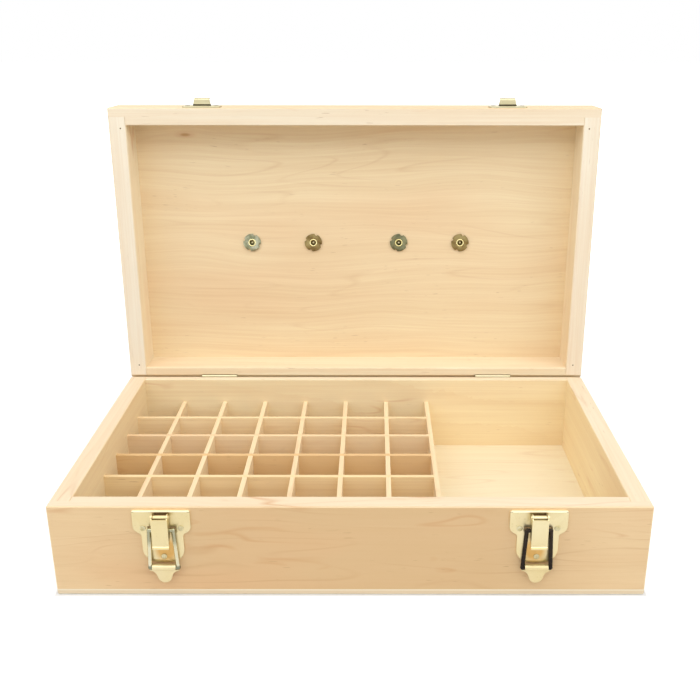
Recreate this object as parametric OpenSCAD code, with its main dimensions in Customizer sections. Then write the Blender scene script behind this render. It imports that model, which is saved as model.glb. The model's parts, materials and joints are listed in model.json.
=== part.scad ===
// Hinged wooden case for small bottles and brushes: a divided base with an open tray,
// a framed lid on two butt hinges, two draw latches and a carrying handle.
// Millimetres. X runs across the case, Y from front to back, Z up.
// The origin is the middle of the underside. The lid is drawn standing open.

/* [Case] */
// Thickness of the boards that frame the base and the lid
wall_t = 12.7; // [10:0.1:16]
// Height of the base's boards above its bottom panel
base_wall_h = 58.4; // [50:0.1:90]
// Height of the lid's boards below its panel
lid_wall_h = 27.5; // [24:0.5:45]
// Thickness of the bottom panel
bottom_t = 4; // [3:0.5:6]
// Thickness of the lid panel
lid_panel_t = 4; // [3:0.5:6]
// How far the side boards are let into the front and back boards
rabbet_d = 6; // [3:0.5:8]
// Width of the bevel that eases the outer edges
edge_ease = 0.7; // [0.3:0.1:1.5]
// Width of the bevel that eases the inner rims
rim_ease = 0.5; // [0.2:0.1:1]

/* [Compartments] */
// Clear width of one small compartment
cell_w = 29.5; // [24:0.5:36]
// Clear depth of one small compartment
cell_d = 29.2; // [24:0.1:36]
// Thickness of the divider strips
divider_t = 3.2; // [2.4:0.1:5]
// Height of the divider strips
divider_h = 39; // [28:1:46]
// Clear width of the open tray
tray_w = 111.7; // [90:0.1:160]
// Side clearance of a halving joint
halving_fit = 0.1; // [0.05:0.05:0.3]

/* [Hinges] */
// Angle at which the lid stands open
lid_open = 91.5; // [88:0.5:100]
// Gap between the rims when the lid is shut
lid_gap = 0.5; // [0.3:0.1:1]
// Gap between the two bevels when the lid stands open
open_gap = 2; // [1.9:0.1:2.4]
// Distance of the hinge line from the back of the case
hinge_inset = 5.6; // [5.2:0.1:6.5]
// Distance of the middle of each hinge from the end of the case
hinge_end = 72; // [45:1:90]
// Length of a hinge
hinge_len = 28.5; // [24:0.5:40]
// Radius of the hinge barrel
barrel_r = 1.3; // [1.2:0.1:1.6]
// Radius of the hinge pin
hinge_pin_r = 0.6; // [0.5:0.05:0.7]
// Thickness of a hinge leaf
leaf_t = 0.8; // [0.6:0.1:0.9]
// Width of a hinge leaf, from the hinge line
leaf_w = 6.4; // [6:0.1:7]

/* [Latches] */
// Distance of the middle of each latch from the end of the case
latch_end = 69; // [45:1:90]
// Thickness of the plates that are screwed on
plate_t = 1; // [0.8:0.1:1.2]
// Thickness of the lever's sheet
sheet_t = 0.8; // [0.6:0.1:1]
// Width of the latch plate across its shoulders
plate_w = 35.2; // [33:0.1:40]
// Height of the latch plate
plate_h = 36; // [34:0.5:40]
// Distance of the latch plate below the rim of the base
plate_drop = 2.2; // [1.5:0.1:4]
// Width of the lever
lever_w = 10; // [9:0.1:10.5]
// Length of the lever below its pin
lever_len = 17.4; // [16:0.1:19]
// Radius of the lever's pin
lever_pin_r = 0.8; // [0.6:0.05:1]
// Distance from the lever's pin down to the bail's pivot
throw = 9.3; // [9:0.1:9.8]
// Distance from the bail's pivot to its crossbar
bail_len = 26; // [25.4:0.1:29]
// Radius of the bail's wire
wire_r = 1.3; // [1.1:0.05:1.35]
// Width of the strike plate
strike_w = 28; // [26:0.5:32]
// Height of the strike plate
strike_h = 14; // [12:0.5:16]
// Width of the strike's hook where it leaves the plate
hook_w = 13.6; // [11:0.1:14]

/* [Handle] */
// Distance of the handle's line from the front of the case
handle_y = 106.5; // [90:0.5:115]
// Distance of each handle bracket from the middle of the case
bracket_x = 58.9; // [50:0.1:70]
// Distance between the two bolts of a bracket
bolt_span = 49.2; // [44:0.1:56]
// Height of the handle's pivot above the lid
pivot_h = 10; // [10:0.5:14]
// Distance from the handle's pivot to the middle of the grip
handle_reach = 36; // [30:1:45]
// Radius of the grip at its middle
grip_r = 8; // [6:0.5:9]
// Radius of the handle's rod
rod_r = 2.5; // [2:0.1:3]
// Thickness of the bracket's sheet
bracket_t = 1.6; // [1.2:0.1:2]
// Width of a bracket
bracket_w = 18; // [16:0.5:22]

/* [Fasteners] */
// Radius of a screw's shank
shank_r = 1; // [0.8:0.05:1.2]
// Radius of a screw's head
head_r = 1.8; // [1.6:0.1:2.2]
// Length of a screw's shank in the wood
shank_len = 8; // [6:0.5:9]
// Radius of the handle's bolts
bolt_r = 2; // [1.5:0.1:2.5]
// Radius of a tee nut's flange
nut_flange_r = 7; // [6.5:0.1:8]
// Radius of a tee nut's barrel
nut_barrel_r = 3.1; // [2.9:0.1:3.5]
// Thickness of a tee nut's flange
nut_flange_t = 1.1; // [0.8:0.1:1.5]

/* [Hidden] */
$fn = 48;

columns = 7;
rows = 6;
cut = 0.5;                 // how far a cutting solid runs past the face it opens
run_fit = 0.05;            // radial play of a pin in its bore
slip = 0.3;                // play beside a part that moves
seat = 0.02;               // play around a part that is seated

// Case
pitch_x = cell_w + divider_t;
pitch_y = cell_d + divider_t;
case_w = 2 * wall_t + columns * pitch_x + tray_w;
case_d = 2 * wall_t + rows * pitch_y - divider_t;
rim_z = bottom_t + base_wall_h;
front_y = -case_d / 2;
back_y = case_d / 2;
in_left = -case_w / 2 + wall_t;
in_front = front_y + wall_t;
in_back = back_y - wall_t;
lid_z = rim_z + lid_gap;
lid_h = lid_wall_h + lid_panel_t;
lid_top = lid_z + lid_h;
lap_t = wall_t - rabbet_d;
halving_w = divider_t + 2 * halving_fit;
half_h = divider_h / 2;

hinge_x = case_w / 2 - hinge_end;
latch_x = case_w / 2 - latch_end;

// Hinge line, and the bevels that meet when the lid stands open
axis_y = back_y - hinge_inset;
axis_z = rim_z + lid_gap / 2;
bevel_a = lid_open / 2;
bevel_y = axis_y - (open_gap - lid_gap * cos(bevel_a)) / 2 / sin(bevel_a);
bevel_drop = (open_gap / 2 + hinge_inset * sin(bevel_a)) / cos(bevel_a) - lid_gap / 2;
knuckles = 5;
knuckle_len = hinge_len / knuckles;
knuckle_gap = 0.15;
barrel_room = barrel_r + slip;
leaf_low = seat - open_gap / 2;
leaf_top = leaf_low + leaf_t;
hinge_screw_x = hinge_len * 0.3;
hinge_screw_y = (leaf_w + barrel_room) / 2;
hinge_head_r = 1.6;
hinge_shank_r = 0.8;
countersink_t = 0.7 * leaf_t;

// Latch: o is the distance out from the front of the case, z is measured from the rim
lip_o = 1.6;
lip_t = 0.8;
pin_o = 4;
pin_z = -5.2;
roll_r = 1.4;
roll_w = lever_w - 2 * sheet_t - 2 * knuckle_gap;
pin_head_r = 1.3;
pin_head_t = 0.5;
stub_o = 3;
stub_z = pin_z - throw;
stub_r = 0.9;
stub_in = 0.5;
bend_r = wire_r + 0.08;
leg_gap = 2.3;
leg_splay = 1.3;
leg_x = lever_w / 2 + leg_gap;
foot_x = leg_x + leg_splay;
crossbar_z = stub_z - bail_len;
eye_r = 2.1;
web_o = 6.9;
flange_o = 1.7;
lever_end = pin_z - lever_len;
lip_r = 2.2;
web_top = pin_z - 0.3;
cheek_heel = 2.2;
cheek_step = [1.6, 5];
cheek_toe = 0.6;
tab_t = 1;
sleeve_r = wire_r + sheet_t;
sleeve_w = 2 * (foot_x - wire_r) - slip;
tab_w = 2 * foot_x + 1;
tab_tip_r = 4.3;
tab_len = 10.6;
tab_brow = 1;
pinch_r = 5;
pinch_drop = 0.8;
pinch_gap = 0.2;
shoulder_h = 16;
plate_top_r = 1.5;
shoulder_r = 5.5;
plate_low_w = 25.4;
waist_r = 2.5;
// centres of a shoulder's lower corner and of the hollow curve that meets it
shoulder = [plate_w / 2 - shoulder_r, -plate_drop - shoulder_h + shoulder_r];
waist_x = plate_low_w / 2 + waist_r;
waist_gap = shoulder_r + waist_r;
waist = [waist_x, shoulder[1] - sqrt(pow(waist_gap, 2) - pow(waist_x - shoulder[0], 2))];
plate_low_r = 9.5;
window_w = 4.2;
window_h = 3.1;
window_shift = 0.8;
window_drop = 1.7;
window_x = leg_x - window_shift;
window_z = stub_z - window_drop;
tongue_gap = 0.9;
tongue_top = -plate_drop - lip_t - tongue_gap;
tongue_foot = pin_z - roll_r;
plate_screw_x = 11.5;
plate_screw_z = -14.3;
plate_foot_screw_z = -34;
bail_up_z = stub_z + bail_len;
over_centre = 0.3;         // how far the bail swings past the line of its two pivots
hook_t = 0.8;
hook_bend = 1.6;
hook_play = 0.4;
hook_taper = 1.4;
hook_top = bail_up_z - sleeve_r - hook_play;
hook_in = stub_o + over_centre + sleeve_r + slip;
hook_lip_h = 4.4;
hook_tip_w = hook_w - 2 * hook_taper;
strike_screw_x = 10.6;
strike_mid = hook_top - 1;
strike_r = 3;
head_t = 0.6;
head_rim = 0.45;           // share of a head's thickness that is straight
head_flat = 0.6;           // share of a head's radius that is flat on top
short_of = 1;              // how far a screw stops short of its pilot hole's end

// Handle, on the lid's panel
handle_line = front_y + handle_y;
foot_r = bracket_w / 2;
cheek_x = 9;
cheek_r = 6;
pivot_z = lid_top + pivot_h;
pivot_pin_r = rod_r;
eye_wall = 2.8;
eye_out_r = pivot_pin_r + eye_wall;
eye_w = 2 * cheek_x - bracket_t - 2 * slip;
rod_bend_r = 9;
bare_rod = 11;
grip_len = 2 * (bracket_x - rod_bend_r - bare_rod);
grip_end_r = grip_r * 0.68;
grip_steps = 16;
ferrule_len = 5;
ferrule_rim = 2;
ferrule_lip = 1.4;
ferrule_r = grip_end_r + 0.8;
bolt_head_r = 3.8;
bolt_head_t = 2;
bolt_short = 0.6;
bolt_len = lid_panel_t + bracket_t + nut_flange_t - bolt_short;
barrel_short = 0.5;
prong_t = 0.9;
prong_w = 2.2;
prong_len = 2.8;
prong_at = nut_flange_r - 1.7;
notch_r = 1.3;
notch_out = 0.2;
notch_turn = 20;

// ---------- helpers ----------

// A flat outline drawn in Y and Z, given a width along X
module across(width) {
    rotate([90, 0, 90]) linear_extrude(width, center = true) children();
}

// A flat outline drawn in X and Z, given a thickness towards the front
module upright(thickness) {
    rotate([90, 0, 0]) linear_extrude(thickness) children();
}

// A round bar from p to q
module bar(p, q, r) {
    d = q - p;
    translate(p)
        rotate([0, acos(d[2] / norm(d)), atan2(d[1], d[0])])
            cylinder(h = norm(d), r = r);
}

// A round bar along X, from one x to another
module bar_x(x0, x1, r) {
    translate([x0, 0, 0]) rotate([0, 90, 0]) cylinder(h = x1 - x0, r = r);
}

// A rectangle w by h, standing on its lower edge, with round corners
module rounded(w, h, r_top, r_low) {
    translate([-w / 2, r_low]) square([w, h - r_top - r_low]);
    translate([-w / 2 + r_low, 0]) square([w - 2 * r_low, h - r_top]);
    translate([-w / 2 + r_top, r_low]) square([w - 2 * r_top, h - r_low]);
    for (s = [-1, 1]) {
        translate([s * (w / 2 - r_low), r_low]) circle(r_low);
        translate([s * (w / 2 - r_top), h - r_top]) circle(r_top);
    }
}

// A quarter of a ring of sheet, with its hollow at the origin's upper right
module quarter_ring(r_out, t) {
    intersection() {
        difference() {
            circle(r_out);
            circle(r_out - t);
        }
        translate([-r_out, -r_out]) square(r_out);
    }
}

// Corners of a rectangle from a to b with each corner bevelled by e
function eased_rect(a, b, e) = [
    [a[0] + e, a[1]], [b[0] - e, a[1]], [b[0], a[1] + e], [b[0], b[1] - e],
    [b[0] - e, b[1]], [a[0] + e, b[1]], [a[0], b[1] - e], [a[0], a[1] + e]
];

// A prism that eases an edge along X or along Y
module ease_x(y, z) {
    translate([0, y, z]) rotate([45, 0, 0])
        cube([case_w + 2 * cut, rim_ease * sqrt(2), rim_ease * sqrt(2)], center = true);
}
module ease_y(x, z) {
    translate([x, 0, z]) rotate([0, 45, 0])
        cube([rim_ease * sqrt(2), case_d + 2 * cut, rim_ease * sqrt(2)], center = true);
}

// The eased outer block that all boards of the base or the lid are cut from. It stands
// between two heights, and its back is bevelled at the rim that faces the other half.
module outer_block(low, high, rim) {
    e = edge_ease;
    in = rim == high ? -1 : 1;
    far = rim == high ? low : high;
    intersection() {
        translate([0, 0, low]) linear_extrude(high - low)
            polygon(eased_rect([-case_w / 2, front_y], [case_w / 2, back_y], e));
        rotate([90, 0, 0]) linear_extrude(case_d, center = true)
            polygon(eased_rect([-case_w / 2, low], [case_w / 2, high], e));
        across(case_w)
            polygon([
                [front_y + e, far], [back_y - e, far], [back_y, far - in * e],
                [back_y, rim + in * bevel_drop], [bevel_y, rim],
                [front_y + e, rim], [front_y, rim + in * e], [front_y, far - in * e]
            ]);
    }
}

// Everything on the lid is drawn shut and then swung open
module opened() {
    translate([0, axis_y, axis_z]) rotate([-lid_open, 0, 0])
        translate([0, -axis_y, -axis_z]) children();
}

module on_hinges() {
    for (s = [-1, 1]) translate([s * hinge_x, axis_y, axis_z]) children();
}

// From the hinge line, X stays, Y runs out along the bevel and Z points out of it
module down_bevel(up) {
    mirror([0, 0, up ? 1 : 0]) rotate([-bevel_a, 0, 0]) children();
}

module at_leaf_screws() {
    for (s = [-1, 1]) translate([s * hinge_screw_x, hinge_screw_y, leaf_top]) children();
}

module on_latches() {
    for (s = [-1, 1]) at_latch(s) children();
}

module at_latch(s) {
    translate([s * latch_x, front_y, rim_z]) children();
}

module on_bolts() {
    for (x = [-bracket_x - bolt_span / 2, -bracket_x + bolt_span / 2,
              bracket_x - bolt_span / 2, bracket_x + bolt_span / 2])
        translate([x, handle_line, 0]) children();
}

// A screw that points into the wood along +Y, its head seated at the origin
module screw(r, head, thick, len) {
    rotate([-90, 0, 0]) cylinder(h = len, r = r);
    rotate([90, 0, 0]) {
        cylinder(h = thick * head_rim, r = head);
        translate([0, 0, thick * head_rim])
            cylinder(h = thick * (1 - head_rim), r1 = head, r2 = head * head_flat);
    }
}

// Places of a latch plate's screws and of a strike's, on the front of the case
module at_plate_screws() {
    for (p = [[-plate_screw_x, plate_screw_z], [plate_screw_x, plate_screw_z],
              [0, plate_foot_screw_z]])
        translate([p[0], -plate_t, p[1]]) children();
}
module at_strike_screws() {
    for (s = [-1, 1]) translate([s * strike_screw_x, -plate_t, strike_mid]) children();
}

module pilot(r, len) {
    translate([0, -cut, 0]) rotate([-90, 0, 0]) cylinder(h = len + cut, r = r + run_fit);
}

// ---------- base ----------

// A front or back board, from one height to another, rabbeted for the side boards
module long_board(y0, low, h, rabbet_y) {
    difference() {
        translate([-case_w / 2, y0, low]) cube([case_w, wall_t, h]);
        for (s = [-1, 1])
            translate([s * (case_w / 2 - wall_t / 2), rabbet_y, low + h / 2])
                cube([wall_t, 2 * rabbet_d, h + 2 * cut], center = true);
    }
}

module side_board(s, low, h) {
    translate([s * (case_w - wall_t) / 2, 0, low + h / 2])
        cube([wall_t, case_d - 2 * lap_t, h], center = true);
}

// Room for the hinges' barrels along the edge of a bevel, and the screws' pilot holes
module hinge_beds(up) {
    on_hinges() down_bevel(up) {
        bar_x(-hinge_len / 2 - slip, hinge_len / 2 + slip, barrel_room);
        at_leaf_screws() translate([0, 0, -shank_len - leaf_t])
            cylinder(h = shank_len + leaf_t, r = hinge_shank_r + run_fit);
    }
}

module base_front_board() {
    color("burlywood") difference() {
        intersection() {
            long_board(front_y, bottom_t, base_wall_h, in_front);
            outer_block(0, rim_z, rim_z);
        }
        ease_x(in_front, rim_z);
        on_latches() at_plate_screws() pilot(shank_r, shank_len);
    }
}

module base_back_board() {
    color("burlywood") difference() {
        intersection() {
            long_board(in_back, bottom_t, base_wall_h, in_back);
            outer_block(0, rim_z, rim_z);
        }
        ease_x(in_back, rim_z);
        hinge_beds(false);
    }
}

module base_side_board(s) {
    color("burlywood") difference() {
        intersection() {
            side_board(s, bottom_t, base_wall_h);
            outer_block(0, rim_z, rim_z);
        }
        ease_y(s * (case_w / 2 - wall_t), rim_z);
    }
}

module base_bottom_panel() {
    color("wheat") intersection() {
        translate([-case_w / 2, front_y, 0]) cube([case_w, case_d, bottom_t]);
        outer_block(0, rim_z, rim_z);
    }
}

// ---------- compartments ----------

// The strips cross in halving joints: those from front to back are slotted from above,
// those across are slotted from below.
module long_strip(i, slotted) {
    x = in_left + i * pitch_x - divider_t;
    color("tan") difference() {
        translate([x, in_front, bottom_t]) cube([divider_t, in_back - in_front, divider_h]);
        if (slotted)
            for (k = [1 : rows - 1])
                translate([x - cut, in_front + k * pitch_y - divider_t - halving_fit,
                           bottom_t + half_h - halving_fit])
                    cube([divider_t + 2 * cut, halving_w, half_h + 1]);
    }
}

module cross_strip(k) {
    y = in_front + k * pitch_y - divider_t;
    color("tan") difference() {
        translate([in_left, y, bottom_t])
            cube([columns * pitch_x - divider_t, divider_t, divider_h]);
        for (i = [1 : columns - 1])
            translate([in_left + i * pitch_x - divider_t - halving_fit, y - cut, bottom_t - 1])
                cube([halving_w, divider_t + 2 * cut, half_h + 1]);
    }
}

// ---------- lid ----------

module lid_front_board() {
    color("burlywood") opened() difference() {
        intersection() {
            long_board(front_y, lid_z, lid_wall_h, in_front);
            outer_block(lid_z, lid_top, lid_z);
        }
        ease_x(in_front, lid_z);
        on_latches() at_strike_screws() pilot(shank_r, shank_len);
    }
}

module lid_back_board() {
    color("burlywood") opened() difference() {
        intersection() {
            long_board(in_back, lid_z, lid_wall_h, in_back);
            outer_block(lid_z, lid_top, lid_z);
        }
        ease_x(in_back, lid_z);
        hinge_beds(true);
    }
}

module lid_side_board(s) {
    color("burlywood") opened() difference() {
        intersection() {
            side_board(s, lid_z, lid_wall_h);
            outer_block(lid_z, lid_top, lid_z);
        }
        ease_y(s * (case_w / 2 - wall_t), lid_z);
    }
}

module prong_set(grow) {
    for (a = [0 : 90 : 270]) rotate(a)
        translate([prong_at - prong_t / 2 - grow, -prong_w / 2 - grow, -cut])
            cube([prong_t + 2 * grow, prong_w + 2 * grow, prong_len + cut + grow]);
}

module lid_panel() {
    inside = lid_top - lid_panel_t;
    color("wheat") opened() difference() {
        intersection() {
            translate([-case_w / 2, front_y, inside]) cube([case_w, case_d, lid_panel_t]);
            outer_block(lid_z, lid_top, lid_z);
        }
        on_bolts() translate([0, 0, inside]) {
            translate([0, 0, -cut])
                cylinder(h = lid_panel_t + 2 * cut, r = nut_barrel_r + run_fit);
            prong_set(run_fit);
        }
    }
}

// ---------- hinges ----------

// A leaf lies on its bevel, and its barrels stand at the bevel's inner edge: the base's
// leaf has the even ones, the lid's the odd ones.
module hinge_leaf(first) {
    difference() {
        union() {
            translate([-hinge_len / 2, barrel_room, leaf_low])
                cube([hinge_len, leaf_w - barrel_room, leaf_t]);
            for (k = [first : 2 : knuckles - 1]) {
                x = -hinge_len / 2 + k * knuckle_len + knuckle_gap / 2;
                w = knuckle_len - knuckle_gap;
                translate([x, 0, leaf_low]) cube([w, barrel_room + cut, leaf_t]);
                bar_x(x, x + w, barrel_r);
            }
        }
        bar_x(-hinge_len, hinge_len, hinge_pin_r + run_fit);
        at_leaf_screws() {
            translate([0, 0, -leaf_t - cut])
                cylinder(h = leaf_t + 2 * cut, r = hinge_shank_r + run_fit);
            translate([0, 0, -countersink_t])
                cylinder(h = countersink_t, r1 = hinge_shank_r + run_fit,
                         r2 = hinge_head_r + run_fit);
            cylinder(h = cut, r = hinge_head_r + run_fit);
        }
    }
}

module hinge_screw() {
    translate([0, 0, -countersink_t])
        cylinder(h = countersink_t, r1 = hinge_shank_r, r2 = hinge_head_r);
    translate([0, 0, -shank_len]) cylinder(h = shank_len, r = hinge_shank_r);
}

module hinge_base_leaf(s) {
    color("khaki") translate([s * hinge_x, axis_y, axis_z]) down_bevel(false) hinge_leaf(0);
}

module hinge_lid_leaf(s) {
    color("khaki") opened() translate([s * hinge_x, axis_y, axis_z])
        down_bevel(true) hinge_leaf(1);
}

module hinge_pin(s) {
    color("darkkhaki") translate([s * hinge_x, axis_y, axis_z])
        bar_x(-hinge_len / 2, hinge_len / 2, hinge_pin_r);
}

module hinge_base_screws() {
    color("darkkhaki") on_hinges() down_bevel(false) at_leaf_screws() hinge_screw();
}

module hinge_lid_screws() {
    color("darkkhaki") opened() on_hinges() down_bevel(true) at_leaf_screws() hinge_screw();
}

// ---------- latches ----------

module latch_plate_outline() {
    translate([0, -plate_drop - shoulder_h]) rounded(plate_w, shoulder_h, plate_top_r, shoulder_r);
    translate([0, -plate_drop - plate_h])
        rounded(plate_low_w, plate_h - plate_top_r, plate_top_r, plate_low_r);
    for (m = [0, 1]) mirror([m, 0]) difference() {
        polygon([[waist[0] - waist_r - 1, waist[1]], waist, shoulder]);
        translate(waist) circle(waist_r);
    }
}

// A T-shaped plate with a turned-out lip along its top. The lever hangs on a tongue that
// is cut from the plate and rolled, and windows beside the lever clear the bail's ends.
module latch_plate(s) {
    color("palegoldenrod") at_latch(s) {
        difference() {
            union() {
                upright(plate_t) latch_plate_outline();
                translate([-plate_w / 2 + plate_top_r, -lip_o, -plate_drop - lip_t])
                    cube([plate_w - 2 * plate_top_r, lip_o, lip_t]);
            }
            for (m = [-1, 1])
                translate([m * window_x - window_w / 2, -plate_t - cut, window_z])
                    cube([window_w, plate_t + 2 * cut, window_h]);
            translate([-roll_w / 2, -plate_t - cut, tongue_foot + sheet_t])
                cube([roll_w, plate_t + 2 * cut, tongue_top - tongue_foot - sheet_t]);
            at_plate_screws() translate([0, -cut, 0]) rotate([-90, 0, 0])
                cylinder(h = plate_t + 2 * cut, r = shank_r + run_fit);
        }
        difference() {
            union() {
                translate([0, -pin_o, pin_z]) bar_x(-roll_w / 2, roll_w / 2, roll_r);
                translate([-roll_w / 2, -pin_o, tongue_foot])
                    cube([roll_w, pin_o - plate_t / 2, sheet_t]);
            }
            translate([0, -pin_o, pin_z]) bar_x(-roll_w, roll_w, lever_pin_r + seat);
        }
    }
}

module latch_pin(s) {
    grip = lever_w / 2 + seat;
    color("darkkhaki") at_latch(s) translate([0, -pin_o, pin_z]) {
        bar_x(-grip, grip, lever_pin_r);
        for (m = [0, 1]) mirror([m, 0, 0]) bar_x(grip, grip + pin_head_t, pin_head_r);
    }
}

module lever_side_outline() {
    difference() {
        union() {
            translate([-pin_o, pin_z]) circle(eye_r);
            polygon([
                [-pin_o + eye_r, pin_z], [-flange_o, stub_z - cheek_heel],
                [-flange_o - cheek_step[0], stub_z - cheek_step[1]],
                [-web_o + sheet_t / 2, lever_end + cheek_toe],
                [-web_o + sheet_t / 2, web_top], [-pin_o - eye_r, pin_z]
            ]);
        }
        translate([-pin_o, pin_z]) circle(lever_pin_r + run_fit);
        translate([-stub_o, stub_z]) circle(stub_r + run_fit);
    }
}

// A channel of folded sheet: a web in front, two cheeks that carry the pivots, and a
// lip at the foot for a fingertip
module lever(s) {
    color("palegoldenrod") at_latch(s) {
        for (m = [-1, 1]) translate([m * (lever_w - sheet_t) / 2, 0, 0])
            across(sheet_t) lever_side_outline();
        across(lever_w) {
            translate([-web_o, lever_end]) square([sheet_t, web_top - lever_end]);
            translate([-web_o - lip_r + sheet_t, lever_end])
                mirror([1, 0]) quarter_ring(lip_r, sheet_t);
        }
    }
}

// A loop of wire whose turned-in ends pivot in the lever's cheeks
module bail(s) {
    foot = crossbar_z;
    color("khaki") at_latch(s) translate([0, -stub_o, 0]) {
        for (m = [-1, 1]) {
            bar([m * leg_x, 0, stub_z], [m * foot_x, 0, foot], wire_r);
            translate([m * leg_x, 0, stub_z]) sphere(bend_r);
            translate([m * foot_x, 0, foot]) sphere(bend_r);
        }
        for (m = [0, 1]) mirror([m, 0, 0]) translate([0, 0, stub_z]) {
            bar_x(lever_w / 2 - sheet_t - stub_in, leg_x, stub_r);
            bar_x(lever_w / 2 + slip, leg_x, wire_r);
        }
        translate([0, 0, foot]) bar_x(-foot_x, foot_x, wire_r);
    }
}

module tab_outline() {
    top = -wire_r - slip;
    tip = -tab_len + tab_tip_r;
    waist = tab_tip_r + pinch_gap;
    difference() {
        union() {
            translate([0, tip]) circle(tab_tip_r);
            polygon([
                [-tab_w / 2, top], [tab_w / 2, top], [tab_w / 2, top - tab_brow],
                [waist, tip], [-waist, tip], [-tab_w / 2, top - tab_brow]
            ]);
            translate([-sleeve_w / 2, top - cut]) square([sleeve_w, -top + cut]);
        }
        for (m = [-1, 1])
            translate([m * (waist + pinch_r), tip - pinch_drop]) circle(pinch_r);
    }
}

// A duckbill of sheet rolled round the bail's crossbar
module pull_tab(s) {
    color("palegoldenrod") at_latch(s) translate([0, -stub_o, crossbar_z]) difference() {
        union() {
            translate([0, tab_t / 2, 0]) upright(tab_t) tab_outline();
            bar_x(-sleeve_w / 2, sleeve_w / 2, sleeve_r);
        }
        bar_x(-sleeve_w, sleeve_w, wire_r + seat);
    }
}

// The strike's hook: a shelf that stands out from the plate and turns up at its edge
module hook_outline() {
    out = hook_in + hook_t;
    translate([hook_bend - out, hook_top - hook_t]) square([out - hook_bend, hook_t]);
    translate([-out, hook_top - hook_t + hook_bend]) square([hook_t, hook_lip_h - hook_bend]);
    translate([hook_bend - out, hook_top - hook_t + hook_bend])
        quarter_ring(hook_bend, hook_t);
}

module strike(s) {
    color("palegoldenrod") opened() at_latch(s) {
        difference() {
            translate([0, 0, strike_mid - strike_h / 2])
                upright(plate_t) rounded(strike_w, strike_h, strike_r, strike_r);
            at_strike_screws() translate([0, -cut, 0]) rotate([-90, 0, 0])
                cylinder(h = plate_t + 2 * cut, r = shank_r + run_fit);
        }
        intersection() {
            across(hook_w) hook_outline();
            translate([0, 0, hook_top - hook_t - cut])
                linear_extrude(hook_lip_h + 2 * cut)
                polygon([
                    [-hook_w / 2, 0], [hook_w / 2, 0], [hook_w / 2, -plate_t],
                    [hook_tip_w / 2, -hook_in - hook_t - cut],
                    [-hook_tip_w / 2, -hook_in - hook_t - cut], [-hook_w / 2, -plate_t]
                ]);
        }
    }
}

module latch_plate_screws() {
    color("darkkhaki") on_latches() at_plate_screws()
        screw(shank_r, head_r, head_t, plate_t + shank_len - short_of);
}

module strike_screws() {
    color("darkkhaki") opened() on_latches() at_strike_screws()
        screw(shank_r, head_r, head_t, plate_t + shank_len - short_of);
}

// ---------- handle ----------

// Four tee nuts let into the inside of the lid's panel
module tee_nuts() {
    inside = lid_top - lid_panel_t;
    color("darkkhaki") opened() on_bolts() translate([0, 0, inside]) {
        difference() {
            union() {
                translate([0, 0, -nut_flange_t]) cylinder(h = nut_flange_t, r = nut_flange_r);
                translate([0, 0, -cut])
                    cylinder(h = lid_panel_t - barrel_short + cut, r = nut_barrel_r);
            }
            for (a = [0 : 90 : 270]) rotate(a + notch_turn)
                translate([nut_flange_r + notch_out, 0, -nut_flange_t - cut])
                    cylinder(h = nut_flange_t + cut, r = notch_r);
            translate([0, 0, -nut_flange_t - cut])
                cylinder(h = lid_panel_t + nut_flange_t + 2 * cut, r = bolt_r + run_fit);
        }
        prong_set(0);
    }
}

module handle_bolts() {
    top = lid_top + bracket_t;
    color("darkkhaki") opened() on_bolts() {
        translate([0, 0, top - bolt_len]) cylinder(h = bolt_len, r = bolt_r);
        translate([0, 0, top]) cylinder(h = bolt_head_t * head_rim, r = bolt_head_r);
        translate([0, 0, top + bolt_head_t * head_rim])
            cylinder(h = bolt_head_t * (1 - head_rim), r1 = bolt_head_r,
                     r2 = bolt_head_r * head_flat);
    }
}

// A pressed plate with two upright cheeks, between which a pin carries the handle's eye
module handle_bracket(s) {
    color("khaki") opened() translate([s * bracket_x, handle_line, lid_top]) {
        difference() {
            linear_extrude(bracket_t) {
                square([bolt_span, bracket_w], center = true);
                for (m = [-1, 1]) translate([m * bolt_span / 2, 0]) circle(foot_r);
            }
            for (m = [-1, 1]) translate([m * bolt_span / 2, 0, -cut])
                cylinder(h = bracket_t + 2 * cut, r = bolt_r + run_fit);
        }
        for (m = [-1, 1]) translate([m * cheek_x, 0, 0]) across(bracket_t) {
            translate([0, pivot_h]) circle(cheek_r);
            polygon([
                [-foot_r, bracket_t / 2], [foot_r, bracket_t / 2],
                [cheek_r, pivot_h], [-cheek_r, pivot_h]
            ]);
        }
        translate([0, 0, pivot_h])
            bar_x(-cheek_x - bracket_t, cheek_x + bracket_t, pivot_pin_r);
    }
}

// Handle parts are drawn with the handle folded back along the lid
module folded() {
    opened() translate([0, handle_line, pivot_z]) children();
}

// A rod bent square at both ends, with an eye on each bracket's pin
module handle_rod() {
    color("khaki") folded() {
        for (m = [0, 1]) mirror([m, 0, 0]) {
            difference() {
                union() {
                    translate([bracket_x, 0, 0]) bar_x(-eye_w / 2, eye_w / 2, eye_out_r);
                    translate([bracket_x, 0, 0])
                        rotate([-90, 0, 0]) cylinder(h = handle_reach - rod_bend_r, r = rod_r);
                }
                translate([bracket_x, 0, 0]) bar_x(-eye_w, eye_w, pivot_pin_r + run_fit);
            }
            translate([bracket_x - rod_bend_r, handle_reach - rod_bend_r, 0])
                rotate_extrude(angle = 90) translate([rod_bend_r, 0]) circle(rod_r);
            translate([0, handle_reach, 0]) bar_x(-cut, bracket_x - rod_bend_r, rod_r);
        }
    }
}

// A turned grip, fullest in the middle, on the rod's straight length
module handle_grip() {
    half = grip_len / 2;
    color("peru") folded() translate([0, handle_reach, 0]) rotate([0, 90, 0])
        rotate_extrude()
            polygon(concat(
                [[rod_r + seat, -half], [rod_r + seat, half]],
                [for (k = [grip_steps : -1 : 0])
                    let (t = k / grip_steps * 2 - 1)
                        [grip_end_r + (grip_r - grip_end_r) * cos(t * 90), t * half]]
            ));
}

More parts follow.
